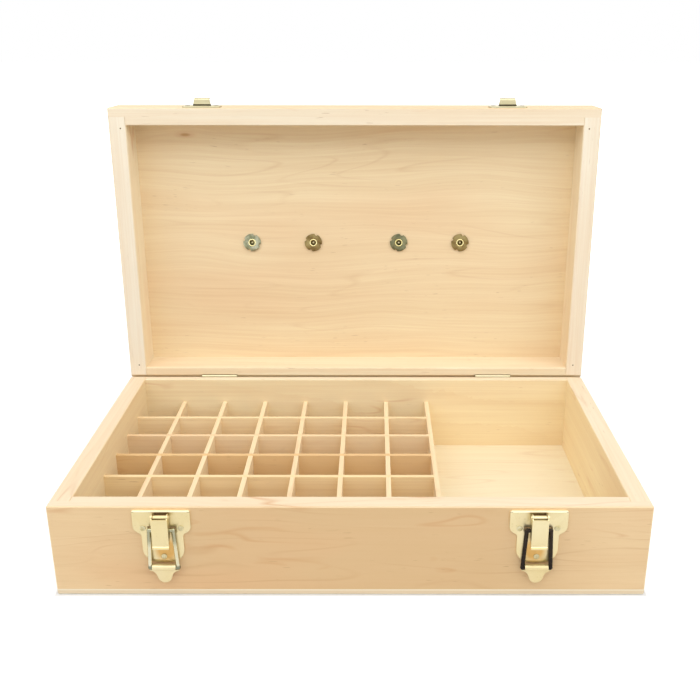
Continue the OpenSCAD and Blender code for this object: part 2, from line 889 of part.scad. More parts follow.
// A turned brass collar at each end of the grip
module handle_ferrules() {
    color("khaki") folded() translate([0, handle_reach, 0])
        for (m = [0, 1]) mirror([m, 0, 0]) translate([grip_len / 2, 0, 0]) rotate([0, 90, 0])
            rotate_extrude() polygon([
                [rod_r + seat, 0], [ferrule_r, 0], [ferrule_r, ferrule_rim],
                [rod_r + ferrule_lip, ferrule_len], [rod_r + seat, ferrule_len]
            ]);
}

base_front_board();
base_back_board();
base_side_board(-1);  // base_left_board
base_side_board(1);  // base_right_board
base_bottom_panel();
long_strip(1, true);  // long_divider_1
long_strip(2, true);  // long_divider_2
long_strip(3, true);  // long_divider_3
long_strip(4, true);  // long_divider_4
long_strip(5, true);  // long_divider_5
long_strip(6, true);  // long_divider_6
long_strip(columns, false);  // tray_divider
cross_strip(1);  // cross_divider_1
cross_strip(2);  // cross_divider_2
cross_strip(3);  // cross_divider_3
cross_strip(4);  // cross_divider_4
cross_strip(5);  // cross_divider_5
lid_front_board();
lid_back_board();
lid_side_board(-1);  // lid_left_board
lid_side_board(1);  // lid_right_board
lid_panel();
hinge_base_leaf(-1);  // left_hinge_base_leaf
hinge_lid_leaf(-1);  // left_hinge_lid_leaf
hinge_pin(-1);  // left_hinge_pin
hinge_base_leaf(1);  // right_hinge_base_leaf
hinge_lid_leaf(1);  // right_hinge_lid_leaf
hinge_pin(1);  // right_hinge_pin
hinge_base_screws();
hinge_lid_screws();
latch_plate(-1);  // left_latch_plate
latch_pin(-1);  // left_latch_pin
lever(-1);  // left_lever
bail(-1);  // left_bail
pull_tab(-1);  // left_pull_tab
strike(-1);  // left_strike
latch_plate(1);  // right_latch_plate
latch_pin(1);  // right_latch_pin
lever(1);  // right_lever
bail(1);  // right_bail
pull_tab(1);  // right_pull_tab
strike(1);  // right_strike
latch_plate_screws();
strike_screws();
tee_nuts();
handle_bolts();
handle_bracket(-1);  // left_handle_bracket
handle_bracket(1);  // right_handle_bracket
handle_rod();
handle_grip();
handle_ferrules();
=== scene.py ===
import json
import math

import bpy
from mathutils import Matrix, Vector

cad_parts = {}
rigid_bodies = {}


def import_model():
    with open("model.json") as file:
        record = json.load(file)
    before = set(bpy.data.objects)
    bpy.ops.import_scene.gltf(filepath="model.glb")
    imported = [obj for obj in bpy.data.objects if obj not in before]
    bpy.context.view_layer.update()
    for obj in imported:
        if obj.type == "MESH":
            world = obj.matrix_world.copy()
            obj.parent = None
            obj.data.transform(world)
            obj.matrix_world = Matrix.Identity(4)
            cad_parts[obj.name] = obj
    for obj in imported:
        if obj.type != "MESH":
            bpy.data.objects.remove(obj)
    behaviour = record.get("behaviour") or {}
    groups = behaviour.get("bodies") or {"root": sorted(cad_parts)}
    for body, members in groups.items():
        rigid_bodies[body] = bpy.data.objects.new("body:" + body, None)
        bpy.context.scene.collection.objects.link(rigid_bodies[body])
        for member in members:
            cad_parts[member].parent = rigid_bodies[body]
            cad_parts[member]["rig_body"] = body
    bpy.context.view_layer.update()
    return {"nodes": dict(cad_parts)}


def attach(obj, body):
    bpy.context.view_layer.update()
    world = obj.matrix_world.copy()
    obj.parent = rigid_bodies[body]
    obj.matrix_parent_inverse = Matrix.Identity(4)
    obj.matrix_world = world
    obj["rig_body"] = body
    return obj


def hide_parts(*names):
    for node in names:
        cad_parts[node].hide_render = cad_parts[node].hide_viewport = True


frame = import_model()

# A hinged wooden case for small bottles and brushes. The boards, strips and panels keep
# the solids of the frame and get their woods here. The sheet brass and the tee nuts are
# made again with rounded edges, the screws and bolts with cross recesses, and the grip
# with a smooth belly. The lid's four nails and a bright ring in each nut are added.

nodes = frame["nodes"]
MM = 0.001

# Places in mm. The origin is under the middle of the base, with X to the right, Y to the
# back and Z up. Those of the lid are given as if it were shut.
LID_LEAN = math.radians(91.5)
HINGE_LINE = Vector((0, 102.7, 62.65)) * MM
HALF_WIDTH = 183
FRONT = -108.3
RIM = 62.4
BOTTOM_THICK = 4
LID_RIM = 62.9
PANEL_IN = 90.4
PANEL_OUT = 94.4
KNOT = Vector((-131.9, -86.2, PANEL_IN)) * MM

# how far from the middle of a front board its middle tone ends and its end tone begins
MIDDLE_TONE = 85
END_TONE_FROM = 165

# the latches: their middle, the front of their sheet, and places on them
LATCH = 114
SHEET_FRONT = FRONT - 1
ROLL_Z = RIM - 4.6
LIP_Z = RIM - 3.0
DISH_X = LATCH - 1.5
DISH_Z = RIM - 29
BAIL_TOP_Z = RIM - 21
BAIL_FOOT_Z = RIM - 39
LATCH_EASE = 0.16
LATCH_SCREWS = ((-11.5, -14.3), (11.5, -14.3), (0, -34))
STRIKE_SCREW_OUT = 10.6
STRIKE_SCREW_UP = 8

# the handle on the lid, its tee nuts, and the nails of the lid's corners
HANDLE_Y = FRONT + 106.5
BRACKET_EASE = 0.3
BOLT_SEAT = 96
GRIP_AXIS = (0, HANDLE_Y + 36, 104.4)
GRIP_HALF = 38.9
NUT_FLANGE = 1.1
NUT_EASE = 0.18
NAILS = ((-174.3, -93.4), (174.5, -93.4), (-175.7, 93.2), (175.7, 93.1))


# ---------- colours and shader nodes ----------

def shade(red, green, blue):
    """A colour given as it looks on a screen, 0 to 255, as the shader wants it."""
    def linear(v):
        v /= 255
        return v / 12.92 if v <= 0.04045 else ((v + 0.055) / 1.055) ** 2.4
    return (linear(red), linear(green), linear(blue), 1)


def place(tree, kind, sockets, **settings):
    """A new node. sockets gives each input a value or another node's output."""
    made = tree.nodes.new(kind)
    for key, value in settings.items():
        setattr(made, key, value)
    for socket, value in sockets.items():
        if isinstance(value, bpy.types.NodeSocket):
            tree.links.new(value, made.inputs[socket])
        else:
            made.inputs[socket].default_value = value
    return made


def calc(tree, operation, first, second=0.0):
    return place(tree, "ShaderNodeMath", {0: first, 1: second},
                 operation=operation).outputs[0]


def product(tree, first, second):
    return calc(tree, "MULTIPLY", first, second)


def distance(tree, value, centre):
    return calc(tree, "ABSOLUTE", calc(tree, "SUBTRACT", value, centre))


def span(tree, value, low, high, to_low=0.0, to_high=1.0):
    """value between low and high, spread to the range from to_low to to_high."""
    return place(tree, "ShaderNodeMapRange", {
        "Value": value, "From Min": low, "From Max": high,
        "To Min": to_low, "To Max": to_high}).outputs["Result"]


def mixed(tree, amount, under, over):
    """The colour under, covered by the colour over as far as amount says."""
    return place(tree, "ShaderNodeMix", {0: amount, 6: under, 7: over},
                 data_type="RGBA").outputs[2]


def parts_of(tree, vector):
    return place(tree, "ShaderNodeSeparateXYZ", {0: vector}).outputs


def vector_of(tree, **parts):
    return place(tree, "ShaderNodeCombineXYZ", parts).outputs[0]


def added(tree, first, second):
    return place(tree, "ShaderNodeVectorMath", {0: first, 1: second},
                 operation="ADD").outputs[0]


def length_of(tree, vector):
    return place(tree, "ShaderNodeVectorMath", {0: vector},
                 operation="LENGTH").outputs["Value"]


def stretched(tree, spot, scale, shift=(0, 0, 0), turn=(0, 0, 0)):
    return place(tree, "ShaderNodeMapping", {
        "Vector": spot, "Scale": scale, "Location": shift, "Rotation": turn}).outputs[0]


def cloud(tree, spot, scale, detail=2.0, roughness=0.5, shift=(0, 0, 0)):
    """Smooth noise, stretched by scale, with a mean of about a half."""
    return place(tree, "ShaderNodeTexNoise", {
        "Vector": stretched(tree, spot, scale, shift), "Scale": 1.0,
        "Detail": detail, "Roughness": roughness}).outputs["Fac"]


def blank(name):
    material = bpy.data.materials.new(name)
    material.use_nodes = True
    tree = material.node_tree
    return material, tree, tree.nodes["Principled BSDF"]


def raised(tree, shader, height, strength, depth):
    bump = place(tree, "ShaderNodeBump", {
        "Height": height, "Strength": strength, "Distance": depth}).outputs[0]
    tree.links.new(bump, shader.inputs["Normal"])


def object_spot(tree):
    return place(tree, "ShaderNodeTexCoord", {}).outputs["Object"]


def spot_on(tree, leaning):
    """Object coordinates, and on the lid those of the lid as if it were shut."""
    spot = object_spot(tree)
    if leaning:
        back = HINGE_LINE - Matrix.Rotation(LID_LEAN, 3, "X") @ HINGE_LINE
        spot = stretched(tree, spot, (1, 1, 1), back, (LID_LEAN, 0, 0))
    return spot


def facing(tree, leaning):
    """The X, Y and Z of the way a face looks, and on the lid that of the shut lid."""
    normal = place(tree, "ShaderNodeTexCoord", {}).outputs["Normal"]
    if leaning:
        normal = stretched(tree, normal, (1, 1, 1), turn=(LID_LEAN, 0, 0))
    return parts_of(tree, normal)


# ---------- woods ----------

TURN_TO_X = {"x": (0, 0, 0), "y": (0, 0, -math.pi / 2)}
SEED_SHIFT = Vector((0.731, 1.117, 0.379))
WOOD_ROUGH = 0.56

FIBRE_TONE = shade(214, 176, 128)
BLUSH_TONE = shade(234, 200, 160)
WARM_TONE = shade(226, 178, 130)
STREAK_TONE = shade(206, 152, 104)
FLECK_TONE = shade(160, 114, 70)
RING_TONE = shade(220, 182, 134)
FIGURE_TONE = shade(204, 160, 116)
KNOT_TONE = shade(178, 128, 74)
END_TONE = shade(214, 180, 134)
SHADOW_TONE = shade(74, 48, 26)
PLY_FACE_TONE = shade(240, 226, 201)
PLY_CORE_TONE = shade(214, 178, 132)


def along_grain(tree, grain, seed, leaning):
    """Coordinates with the grain along X, shifted so that no two boards match."""
    return stretched(tree, spot_on(tree, leaning), (1, 1, 1), seed * SEED_SHIFT,
                     TURN_TO_X[grain])


def growth_rings(tree, spot, seed):
    """Shells about a pith that lies off the board and slightly askew, here and there."""
    wander = added(tree, spot, vector_of(
        tree,
        Y=span(tree, cloud(tree, spot, (3.5, 12, 12)), 0, 1, -0.011, 0.011),
        Z=span(tree, cloud(tree, spot, (3, 10, 10), shift=(4, 2, 7)),
               0, 1, -0.008, 0.008)))
    pith = stretched(tree, wander, (1, 1, 1), (0, -0.03 - 0.013 * (seed % 5), 0.06),
                     (0, 0.025, 0.05 + 0.011 * (seed % 3)))
    shells = place(tree, "ShaderNodeTexWave", {
        "Vector": pith, "Scale": 34.0, "Distortion": 0.6, "Detail": 1.0,
        "Detail Scale": 6.0}, wave_type="RINGS", rings_direction="X",
        wave_profile="SAW").outputs["Fac"]
    patchy = cloud(tree, spot, (3, 16, 16), 1.0, shift=(9, 1, 3))
    return product(tree, calc(tree, "POWER", shells, 3.0),
                   span(tree, patchy, 0.42, 0.66))


def tan_streaks(tree, spot):
    """Soft contour lines of a slow field, broken into short lengths."""
    field = cloud(tree, spot, (14, 74, 74), 1.0, shift=(2, 8, 5))
    line = span(tree, distance(tree, field, 0.57), 0.0, 0.035, 1.0, 0.0)
    lengths = cloud(tree, spot, (16, 44, 44), 1.0, shift=(1, 3, 11))
    return product(tree, line, span(tree, lengths, 0.57, 0.72))


def pores(tree, spot):
    """Short dark dashes, few and thin."""
    dash = cloud(tree, spot, (120, 1150, 1150), 0.0, shift=(3, 5, 8))
    where = cloud(tree, spot, (14, 60, 60), 1.0, shift=(6, 2, 4))
    return product(tree, span(tree, dash, 0.76, 0.84), span(tree, where, 0.5, 0.64))


def swaying(tree, spot):
    sway = cloud(tree, spot, (6.5, 11, 11), 1.0, shift=(7, 3, 2))
    return added(tree, spot, vector_of(tree, Y=span(tree, sway, 0, 1, -0.016, 0.016)))


def veneer_lines(tree, spot):
    """Thin contour lines of a slow field, strong here and faint there."""
    field = cloud(tree, spot, (2.6, 34, 34), 1.0, shift=(2, 6, 1))
    thin = span(tree, calc(tree, "PINGPONG", field, 0.045), 0.0, 0.008, 1, 0)
    here = cloud(tree, spot, (9, 60, 60), 1.0, shift=(8, 8, 3))
    return product(tree, thin, span(tree, here, 0.42, 0.66))


def round_knot(tree, spot, knot, seed):
    """Fibres that part round a small oval knot. knot is its place on the board."""
    centre = knot + seed * SEED_SHIFT
    half = (0.0046, 0.0014, 0.002)
    off = place(tree, "ShaderNodeVectorMath", {0: spot, 1: centre[:]},
                operation="SUBTRACT").outputs[0]
    reach = place(tree, "ShaderNodeVectorMath", {0: off, 1: [1 / h for h in half]},
                  operation="MULTIPLY").outputs[0]
    far = length_of(tree, reach)
    core = span(tree, far, 0.4, 1.05, 0.55, 0)
    halo = span(tree, far, 0.6, 2.2, 1, 0)
    push = product(tree, span(tree, far, 0.6, 5.0, 1, 0), -0.55)
    bent = vector_of(tree, Y=product(tree, parts_of(tree, off)["Y"], push))
    return added(tree, spot, bent), core, halo


def ply_edge(tree, colour, leaning, ply):
    """The three veneers on a panel's edges. ply is the (low, high) face of the panel."""
    level = span(tree, parts_of(tree, spot_on(tree, leaning))["Z"], *ply)
    core = product(tree, span(tree, level, 0.22, 0.27),
                   span(tree, level, 0.73, 0.78, 1, 0))
    flat = calc(tree, "ABSOLUTE", facing(tree, leaning)["Z"])
    edge = span(tree, flat, 0.3, 0.6, 1, 0)
    colour = mixed(tree, product(tree, edge, 0.55), colour, PLY_FACE_TONE)
    return mixed(tree, product(tree, product(tree, core, edge), 0.4), colour,
                 PLY_CORE_TONE)


def latch_shadow(tree, spot):
    """The dark gap behind the roll of each latch."""
    parts = parts_of(tree, spot)
    beside = distance(tree, calc(tree, "ABSOLUTE", parts["X"]), LATCH * MM)
    above = distance(tree, parts["Z"], ROLL_Z * MM)
    return product(tree, span(tree, beside, 4.8 * MM, 5.6 * MM, 0.9, 0),
                   span(tree, above, 1.0 * MM, 1.4 * MM, 1, 0))


def pale_wood(name, tone, grain, seed, leaning=False, fibre=0.34, rings=0.25,
              streaks=0.6, flecks=0.4, blush=0.35, figure=0, rim=None, outside=None,
              knot=None, ply=None):
    """Sanded pale timber: fibres, growth rings, tan streaks, short pores and darker ends.
    figure draws the long thin lines that sway across a sliced veneer, rim is the tone of
    the faces that look up or down, the edges, which paints the cool light from above on
    them, outside holds two tones of the side that faces forwards, at its middle and at
    its ends, and with it comes the painted shadow behind the roll of each latch."""
    material, tree, wood = blank(name)
    spot = along_grain(tree, grain, seed, leaning)
    looks = facing(tree, leaning)
    if knot:
        spot, knot_core, knot_halo = round_knot(tree, spot, knot, seed)
    if figure:
        spot = swaying(tree, spot)

    drift = cloud(tree, spot, (5, 17, 17))
    fine = cloud(tree, spot, (9, 560, 560), 3.0, 0.6)
    coarse = cloud(tree, spot, (4, 110, 110), 3.0, 0.55)
    strands = calc(tree, "ADD", span(tree, fine, 0.36, 0.72, 0, 0.6),
                   span(tree, coarse, 0.38, 0.7, 0, 0.4))
    fleck = pores(tree, spot)

    base = tone
    # painted light: the faces that look up or down take the rim tone, for the cool light
    # from above on them
    if rim:
        level = calc(tree, "ABSOLUTE", looks["Z"])
        base = mixed(tree, span(tree, level, 0.6, 0.9), tone, rim)
    if outside:
        forwards = span(tree, product(tree, looks["Y"], -1), 0.5, 0.9)
        across = calc(tree, "ABSOLUTE", parts_of(tree, spot_on(tree, leaning))["X"])
        to_ends = span(tree, across, MIDDLE_TONE * MM, END_TONE_FROM * MM)
        face = mixed(tree, to_ends, *outside)
        base = mixed(tree, forwards, base, face)
    colour = mixed(tree, span(tree, drift, 0.42, 0.68, 0, blush), base, BLUSH_TONE)
    if outside:
        shadow = latch_shadow(tree, spot_on(tree, leaning))
        colour = mixed(tree, shadow, colour, SHADOW_TONE)
        warm = product(tree, forwards, span(tree, drift, 0.5, 0.74, 0, 0.55))
        colour = mixed(tree, warm, colour, WARM_TONE)
    colour = mixed(tree, product(tree, strands, fibre), colour, FIBRE_TONE)
    colour = mixed(tree, product(tree, growth_rings(tree, spot, seed), rings), colour,
                   RING_TONE)
    colour = mixed(tree, product(tree, tan_streaks(tree, spot), streaks), colour,
                   STREAK_TONE)
    if figure:
        colour = mixed(tree, product(tree, veneer_lines(tree, spot), figure), colour,
                       FIGURE_TONE)
    colour = mixed(tree, product(tree, fleck, flecks), colour, FLECK_TONE)
    across_grain = calc(tree, "ABSOLUTE", looks[grain.upper()])
    colour = mixed(tree, span(tree, across_grain, 0.8, 0.95, 0, 0.4), colour, END_TONE)
    if knot:
        colour = mixed(tree, product(tree, knot_halo, 0.35), colour, STREAK_TONE)
        colour = mixed(tree, knot_core, colour, KNOT_TONE)
    if ply:
        colour = ply_edge(tree, colour, leaning, ply)
    tree.links.new(colour, wood.inputs["Base Color"])

    tree.links.new(span(tree, fine, 0.3, 0.7, WOOD_ROUGH + 0.06, WOOD_ROUGH - 0.06),
                   wood.inputs["Roughness"])
    wood.inputs["IOR"].default_value = 1.45
    wood.inputs["Specular IOR Level"].default_value = 0.25
    fibres = calc(tree, "ADD", fine, product(tree, coarse, 0.5))
    raised(tree, wood, calc(tree, "SUBTRACT", fibres, fleck), 0.2, 0.4 * MM)
    return material


def lacquered_wood(name):
    """Turned hardwood under clear lacquer, its grain along the grip."""
    material, tree, wood = blank(name)
    spot = along_grain(tree, "x", 31, False)
    strands = cloud(tree, spot, (12, 420, 420), 4.0, 0.6)
    bands = place(tree, "ShaderNodeTexWave", {
        "Vector": stretched(tree, spot, (0.35, 1, 1), (0, 0.004, 0.003), (0, 0.02, 0.06)),
        "Scale": 85.0, "Distortion": 2.2, "Detail": 2.0, "Detail Scale": 9.0},
        wave_type="RINGS", rings_direction="X").outputs["Fac"]
    colour = mixed(tree, span(tree, bands, 0.2, 0.95), shade(214, 160, 98),
                   shade(186, 124, 66))
    colour = mixed(tree, span(tree, strands, 0.45, 0.75, 0, 0.45), colour,
                   shade(142, 88, 46))
    tree.links.new(colour, wood.inputs["Base Color"])
    tree.links.new(span(tree, strands, 0.3, 0.7, 0.3, 0.42), wood.inputs["Roughness"])
    wood.inputs["Coat Weight"].default_value = 0.7
    wood.inputs["Coat Roughness"].default_value = 0.12
    raised(tree, wood, strands, 0.12, 0.3 * MM)
    return material


# ---------- metals ----------

SPECK_TONE = shade(150, 122, 62)
# the tones below are painted light: a reflection in the latch plate's dish, a highlight
# on its lip and a shadow under it, shade and reflection on the bail, and a dark
# reflection on the bend of each strike's hook
DISH_REFLECTION_TONE = shade(196, 148, 70)
LIP_HIGHLIGHT_TONE = shade(253, 243, 214)
UNDER_LIP_SHADOW_TONE = shade(96, 82, 48)
BAIL_SHADE_TONE = shade(112, 116, 96)
ROOT_REFLECTION_TONE = shade(34, 28, 20)


def dish_painted_reflection(tree, colour, parts):
    """Painted reflection: the dish at the foot of the latch plate is painted a deeper
    gold, for the lever and wood mirrored in it.
    """
    aside = calc(tree, "SUBTRACT", calc(tree, "ABSOLUTE", parts["X"]), DISH_X * MM)
    down = calc(tree, "SUBTRACT", parts["Z"], DISH_Z * MM)
    away = length_of(tree, vector_of(tree, X=aside, Z=product(tree, down, 0.75)))
    return mixed(tree, span(tree, away, 4.5 * MM, 8 * MM, 0.8, 0), colour, DISH_REFLECTION_TONE)


def lip_painted_light(tree, colour, parts):
    """Painted highlight and shadow: the top lip of the latch plate is painted pale, with
    a painted shadow line under it.
    """
    lip = span(tree, parts["Z"], (LIP_Z - 0.1) * MM, LIP_Z * MM)
    under = product(tree, span(tree, parts["Z"], (LIP_Z - 0.5) * MM, (LIP_Z - 0.3) * MM,
                               0, 0.7), calc(tree, "SUBTRACT", 1.0, lip))
    colour = mixed(tree, under, colour, UNDER_LIP_SHADOW_TONE)
    return mixed(tree, lip, colour, LIP_HIGHLIGHT_TONE), lip


def bail_painted_shade(tree, colour, parts):
    """Painted shade and reflection: the bail is greyed at the bends of its foot, and
    towards the lever.
    """
    foot = span(tree, parts["Z"], (BAIL_FOOT_Z - 0.5) * MM, (BAIL_FOOT_Z + 0.5) * MM,
                0.9, 0)
    top = span(tree, parts["Z"], (BAIL_TOP_Z - 5) * MM, BAIL_TOP_Z * MM, 0, 0.6)
    return mixed(tree, calc(tree, "MAXIMUM", foot, top), colour, BAIL_SHADE_TONE)


def hook_bend_painted_reflection(tree, colour):
    """Painted dark reflection on the bend of the strike's hook."""
    depth = parts_of(tree, spot_on(tree, True))["Y"]
    bend = product(tree, span(tree, depth, (FRONT - 2.3) * MM, (FRONT - 1.9) * MM),
                   span(tree, depth, (FRONT - 1.1) * MM, (FRONT - 1.0) * MM, 1, 0))
    return mixed(tree, product(tree, bend, 0.97), colour, ROOT_REFLECTION_TONE)


def sheet_brass(name, tone, warm, rough, drift=26.0, brushed=0.25, dish=False,
                bail_shade=False, root=False):
    """Pale plated metal: faint cloudy drift in colour, fine rolling marks, soft gloss.
    Its three flags add painted light: a reflection in the latch plate's dish with a
    highlight on its lip and a shadow under it, shade and reflection on the bail, and a
    dark reflection on the bend of each strike's hook."""
    material, tree, metal = blank(name)
    spot = object_spot(tree)
    mist = cloud(tree, spot, (drift,) * 3, 3.0)
    marks = cloud(tree, spot, (900, 900, 2600))
    specks = span(tree, cloud(tree, spot, (720,) * 3, 1.0, shift=(3, 1, 2)), 0.66, 0.78)
    colour = mixed(tree, span(tree, mist, 0.35, 0.68), tone, warm)
    colour = mixed(tree, product(tree, specks, 0.18), colour, SPECK_TONE)
    parts = parts_of(tree, spot)
    # painted light on the latch plate: a reflection in its dish, a highlight on its lip
    # and a shadow under it
    if dish:
        colour = dish_painted_reflection(tree, colour, parts)
        colour, lip = lip_painted_light(tree, colour, parts)
        rough = span(tree, lip, 0, 1, rough, 0.62)
    # painted shade and reflection on the bail
    if bail_shade:
        colour = bail_painted_shade(tree, colour, parts)
    # a painted dark reflection on the bend of the strike's hook
    if root:
        colour = hook_bend_painted_reflection(tree, colour)
    tree.links.new(colour, metal.inputs["Base Color"])
    metal.inputs["Metallic"].default_value = 1.0
    worn_gloss = calc(tree, "ADD", span(tree, mist, 0.3, 0.7, -0.03, 0.05),
                      span(tree, marks, 0.3, 0.7, -0.02, 0.03))
    tree.links.new(calc(tree, "ADD", worn_gloss, rough), metal.inputs["Roughness"])
    raised(tree, metal, calc(tree, "ADD", marks, mist), brushed, 0.04 * MM)
    return material


# ---------- which piece gets what ----------

def finish_with(obj, material):
    obj.data.materials.clear()
    obj.data.materials.append(material)


def left_and_right(*kinds):
    return [f"{side}_{kind}" for kind in kinds for side in ("left", "right")]


# the rim tones below paint the cool light from above on the faces that look up or down
LID_BOARD = shade(241, 229, 200)
LID_EDGE = {"rim": shade(241, 232, 212), "streaks": 0.4, "rings": 0.18}
LID_FRONT = {"rim": shade(238, 226, 202), "blush": 0.2,
             "outside": (shade(229, 202, 161), shade(238, 213, 174))}
LID_BACK = LID_EDGE | {"rim": shade(238, 227, 198)}
BASE_BOARD = shade(244, 227, 187)
BASE_EDGE = {"rim": shade(234, 220, 193), "streaks": 0.4, "rings": 0.15}
BASE_FRONT = BASE_EDGE | {"outside": (shade(220, 187, 141), shade(235, 205, 160)),
                          "blush": 0.2, "streaks": 0.7, "figure": 0.45}
BOARDS = (
    ("base_front_board", BASE_BOARD, "x", False, BASE_FRONT),
    ("base_back_board", BASE_BOARD, "x", False, BASE_EDGE),
    ("base_left_board", BASE_BOARD, "y", False, BASE_EDGE),
    ("base_right_board", BASE_BOARD, "y", False, BASE_EDGE),
    ("lid_front_board", shade(234, 216, 184), "x", True, LID_FRONT),
    ("lid_back_board", LID_BOARD, "x", True, LID_BACK),
    ("lid_left_board", LID_BOARD, "y", True, LID_EDGE),
    ("lid_right_board", LID_BOARD, "y", True, LID_EDGE))
for seed, (name, tone, grain, leaning, extra) in enumerate(BOARDS, 1):
    finish_with(nodes[name], pale_wood(name + "_wood", tone, grain, seed, leaning,
                                       **extra))

finish_with(nodes["base_bottom_panel"], pale_wood(
    "bottom_panel_wood", shade(241, 232, 203), "x", 11, fibre=0.2, rings=0.08,
    streaks=0.2, flecks=0.2, blush=0.15, figure=0.2, ply=(0.0, BOTTOM_THICK * MM)))
finish_with(nodes["lid_panel"], pale_wood(
    "lid_panel_wood", shade(243, 224, 186), "x", 12, True, fibre=0.42, rings=0.12,
    streaks=0.0, flecks=0.35, blush=0.5, figure=0.2, knot=KNOT,
    ply=(PANEL_IN * MM, PANEL_OUT * MM)))

LONG_STRIP = shade(245, 226, 188)
LONG_STRIPS = [f"long_divider_{n}" for n in range(1, 7)] + ["tray_divider"]
for seed, name in enumerate(LONG_STRIPS, 20):
    finish_with(nodes[name], pale_wood(name + "_wood", LONG_STRIP, "y", seed, fibre=0.4,
                                       streaks=0.3, flecks=0.3))
CROSS_STRIPS = {
    "cross_divider_1": shade(247, 225, 176), "cross_divider_2": shade(246, 224, 176),
    "cross_divider_3": shade(228, 193, 140), "cross_divider_4": shade(244, 221, 182),
    "cross_divider_5": shade(247, 224, 181)}
for seed, (name, tone) in enumerate(CROSS_STRIPS.items(), 40):
    finish_with(nodes[name], pale_wood(name + "_wood", tone, "x", seed, fibre=0.45,
                                       streaks=0.4, flecks=0.3))

PLATE = (shade(220, 207, 167), shade(214, 197, 148))
NUT_GRAIN = {"drift": 190.0, "brushed": 0.5}
plate_brass = sheet_brass("plate_brass", *PLATE, rough=0.36)
# the latch plates, with a painted reflection in their dish and a painted highlight and
# shadow at their lip
latch_plate_painted_light = sheet_brass("latch_plate_painted_light", *PLATE, rough=0.34, dish=True)
tab_brass = sheet_brass("tab_brass", *PLATE, rough=0.52)
# the strikes, with a painted dark reflection on the bend of the hook
strike_brass = sheet_brass("strike_brass", shade(198, 190, 158), shade(190, 180, 143),
                           rough=0.42, root=True)
# the left bail's wire, with painted shade and reflection at its bends and towards the
# lever
wire_brass = sheet_brass("wire_brass", shade(214, 210, 186), shade(196, 189, 150),
                         rough=0.16, bail_shade=True)
# a dark copy of the wire brass, which paints the dark reflection of the right bail
dark_reflection_wire = sheet_brass("dark_reflection_wire", shade(56, 49, 41), shade(38, 33, 31), rough=0.24)
hinge_brass = sheet_brass("hinge_brass", shade(208, 200, 168), shade(196, 186, 146),
                          rough=0.34)
rod_brass = sheet_brass("rod_brass", shade(232, 214, 156), shade(220, 196, 126),
                        rough=0.18)
screw_zinc = sheet_brass("screw_zinc", shade(206, 198, 164), shade(193, 180, 133),
                         rough=0.42, drift=260.0)
screw_grey = sheet_brass("screw_grey", shade(172, 167, 144), shade(142, 135, 112),
                         rough=0.42)
nut_zinc = sheet_brass("nut_zinc", shade(157, 140, 94), shade(119, 98, 59), rough=0.36,
                       **NUT_GRAIN)
nut_blue = sheet_brass("nut_blue", shade(139, 137, 104), shade(99, 101, 76), rough=0.36,
                       **NUT_GRAIN)
nut_silver = sheet_brass("nut_silver", shade(178, 178, 154), shade(127, 130, 100),
                         rough=0.3, drift=230.0, brushed=0.5)
# a paler brass that paints the highlight on the ring round each nut's bore
bore_highlight_brass = sheet_brass("bore_highlight_brass", shade(248, 240, 186), shade(232, 218, 146),
                         rough=0.22)
nail_steel = sheet_brass("nail_steel", shade(120, 92, 66), shade(92, 70, 52), rough=0.4)
grip_lacquer = lacquered_wood("grip_lacquer")

HINGES = left_and_right("hinge_base_leaf", "hinge_lid_leaf", "hinge_pin")
for name in HINGES + ["hinge_base_screws", "hinge_lid_screws"]:
    finish_with(nodes[name], hinge_brass)
for name in left_and_right("latch_pin"):
    finish_with(nodes[name], plate_brass)
for name in ("handle_rod", "handle_ferrules"):
    finish_with(nodes[name], rod_brass)
finish_with(nodes["left_bail"], wire_brass)
# the right bail's wire is painted dark for its dark reflection
finish_with(nodes["right_bail"], dark_reflection_wire)


# ---------- making pieces ----------

LID_SWING = (Matrix.Translation(HINGE_LINE) @ Matrix.Rotation(-LID_LEAN, 4, "X")
             @ Matrix.Translation(-HINGE_LINE))
FACE_FRONT = Matrix.Rotation(math.pi / 2, 4, "X")
UPSIDE_DOWN = Matrix.Rotation(math.pi, 4, "X")
ALONG_X = Matrix.Rotation(math.pi / 2, 4, "Y")


def at(x, y, z):
    return Matrix.Translation(Vector((x, y, z)) * MM)


def alone(obj):
    bpy.ops.object.select_all(action="DESELECT")
    obj.select_set(True)
    bpy.context.view_layer.objects.active = obj


def all_in_edit(obj):
    alone(obj)
    bpy.ops.object.mode_set(mode="EDIT")
    bpy.ops.mesh.select_all(action="SELECT")


def copied(obj, name):
    made = bpy.data.objects.new(name, obj.data.copy())
    bpy.context.scene.collection.objects.link(made)
    return made


def settled(obj, matrix):
    """obj is moved by matrix, and the move is kept in its mesh."""
    alone(obj)
    obj.matrix_world = matrix
    bpy.ops.object.transform_apply(location=True, rotation=True, scale=True)


def stand_for(obj, node, material):
    finish_with(obj, material)
    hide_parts(node)
    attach(obj, nodes[node]["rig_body"])


def add_to_lid(obj, material):
    finish_with(obj, material)
    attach(obj, "lid")


def smoothed(obj, degrees):
    alone(obj)
    bpy.ops.object.shade_smooth_by_angle(angle=math.radians(degrees))


def rounded_over(obj, width):
    alone(obj)
    bevel = obj.modifiers.new("eased", "BEVEL")
    bevel.width = width
    bevel.segments = 2
    bevel.limit_method = "ANGLE"
    bevel.angle_limit = math.radians(32)
    bpy.ops.object.modifier_apply(modifier=bevel.name)
    smoothed(obj, 28)


def cleaned_copy(node):
    """A copy of a node's solid as one welded skin, its flat sides in one face each."""
    obj = copied(nodes[node], node + "_eased")
    all_in_edit(obj)
    bpy.ops.mesh.remove_doubles(threshold=0.002 * MM)
    bpy.ops.mesh.customdata_custom_splitnormals_clear()
    bpy.ops.mesh.dissolve_limited(angle_limit=math.radians(0.6))
    bpy.ops.object.mode_set(mode="OBJECT")
    return obj


